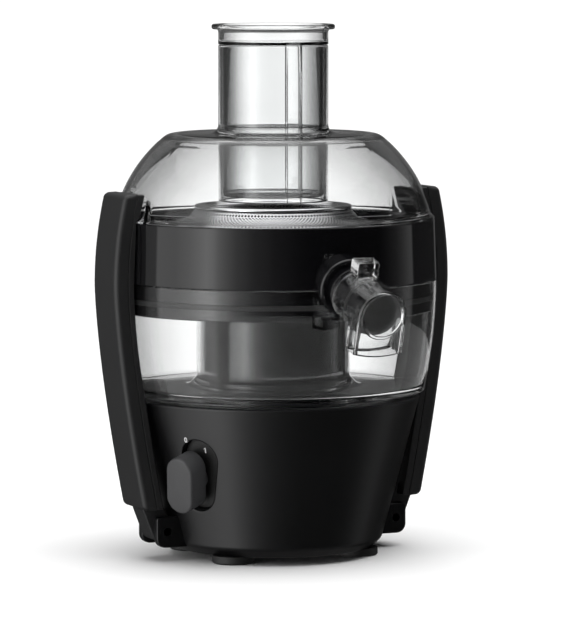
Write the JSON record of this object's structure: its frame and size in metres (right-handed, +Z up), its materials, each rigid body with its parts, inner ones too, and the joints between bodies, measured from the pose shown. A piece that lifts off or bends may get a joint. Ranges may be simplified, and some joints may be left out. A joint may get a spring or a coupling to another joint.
{
  "type": "centrifugal juicer",
  "caption": "Compact centrifugal juicer: tapered motor base, clear pulp ring, juice collector with twist spout, bell sieve, domed lid with feed tube and pusher, and two clamp arms.",
  "frame": {"origin": "on the drive axis, at the level of the table under the feet", "axes": "+Z up along the drive axis, -Y to the front where the spout points, +X to the right-hand arm"},
  "size_m": [0.2292, 0.2652, 0.332],
  "materials": {
    "housing_black": "satin moulded plastic",
    "band_black": "high gloss",
    "arm_black": "fine matt texture",
    "clear_smoke": "clear, lightly smoked, polished",
    "knob_grey": "matt",
    "dial_black": "matt",
    "mark_white": "printed",
    "sieve_steel": "perforated sheet",
    "bright_steel": "polished",
    "zinc_steel": "zinc plated",
    "motor_iron": "laminated electrical steel",
    "copper": "enamelled copper wire",
    "cast_alloy": "die cast",
    "carbon": "pressed carbon",
    "black_rubber": "soft matt",
    "clear_rubber": "translucent silicone"
  },
  "bodies": {
    "base": {"base_housing": "housing_black", "motor_tower": "band_black", "bottom_cover": "housing_black", "feet": "black_rubber", "cover_screws": "zinc_steel", "cord_gland": "black_rubber", "dial_plate": "dial_black", "dial_marks": "mark_white", "rotary_switch": "dial_black", "arm_pins": "zinc_steel", "interlock_switches": "dial_black", "lower_motor_bracket": "cast_alloy", "upper_motor_bracket": "cast_alloy", "rubber_mounts": "black_rubber", "motor_screws": "zinc_steel", "stator_core": "motor_iron", "field_coils": "copper", "carbon_brushes": "carbon", "brush_holders": "copper", "lower_bearing": "bright_steel", "upper_bearing": "bright_steel", "shaft_seal": "black_rubber", "pulp_container": "clear_smoke", "container_seal": "black_rubber", "juice_collector": "band_black", "spout_tube": "band_black", "spout_ring": "black_rubber"},
    "spindle": {"motor_shaft": "bright_steel", "rotor_core": "motor_iron", "rotor_windings": "copper", "commutator": "copper", "cooling_fan": "dial_black", "drive_coupling": "housing_black", "sieve_carrier": "housing_black", "sieve_cone": "sieve_steel", "sieve_rim": "bright_steel", "grater_disc": "sieve_steel", "grater_nut": "bright_steel"},
    "control_knob": {"knob": "knob_grey", "knob_shaft": "zinc_steel"},
    "nozzle": {"spout_nozzle": "clear_smoke"},
    "lid": {"feed_lid": "clear_smoke", "lid_seal": "clear_rubber"},
    "food_pusher": {"pusher": "clear_smoke"},
    "left_arm": {"left_arm_shell": "arm_black", "left_arm_liner": "arm_black", "left_arm_pad": "black_rubber", "left_arm_screws": "zinc_steel"},
    "right_arm": {"right_arm_shell": "arm_black", "right_arm_liner": "arm_black", "right_arm_pad": "black_rubber", "right_arm_screws": "zinc_steel"}
  },
  "joints": [
    {"name": "left_arm_hinge", "type": "hinge", "parent": "base", "child": "left_arm", "pos_m": [-0.07881, 0, 0.019], "axis": [0, -1, 0], "range_deg": [0, 25]},
    {"name": "right_arm_hinge", "type": "hinge", "parent": "base", "child": "right_arm", "pos_m": [0.07881, 0, 0.019], "axis": [0, 1, 0], "range_deg": [0, 25]},
    {"name": "knob_turn", "type": "hinge", "parent": "base", "child": "control_knob", "pos_m": [-0.07074, -0.03761, 0.055], "axis": [0.8537, 0.4539, 0.2553], "range_deg": [0, 30]},
    {"name": "spindle_spin", "type": "hinge", "parent": "base", "child": "spindle", "pos_m": [0, 0, 0.1], "axis": [0, 0, 1], "continuous": true},
    {"name": "nozzle_twist", "type": "hinge", "parent": "base", "child": "nozzle", "pos_m": [0, -0.1025, 0.177], "axis": [0, -0.9613, -0.2756], "range_deg": [0, 120]},
    {"name": "lid_lift", "type": "slide", "parent": "base", "child": "lid", "axis": [0, 0, 1], "range_m": [0, 0.06]},
    {"name": "pusher_slide", "type": "slide", "parent": "lid", "child": "food_pusher", "axis": [0, 0, 1], "range_m": [0, 0.1]}
  ]
}
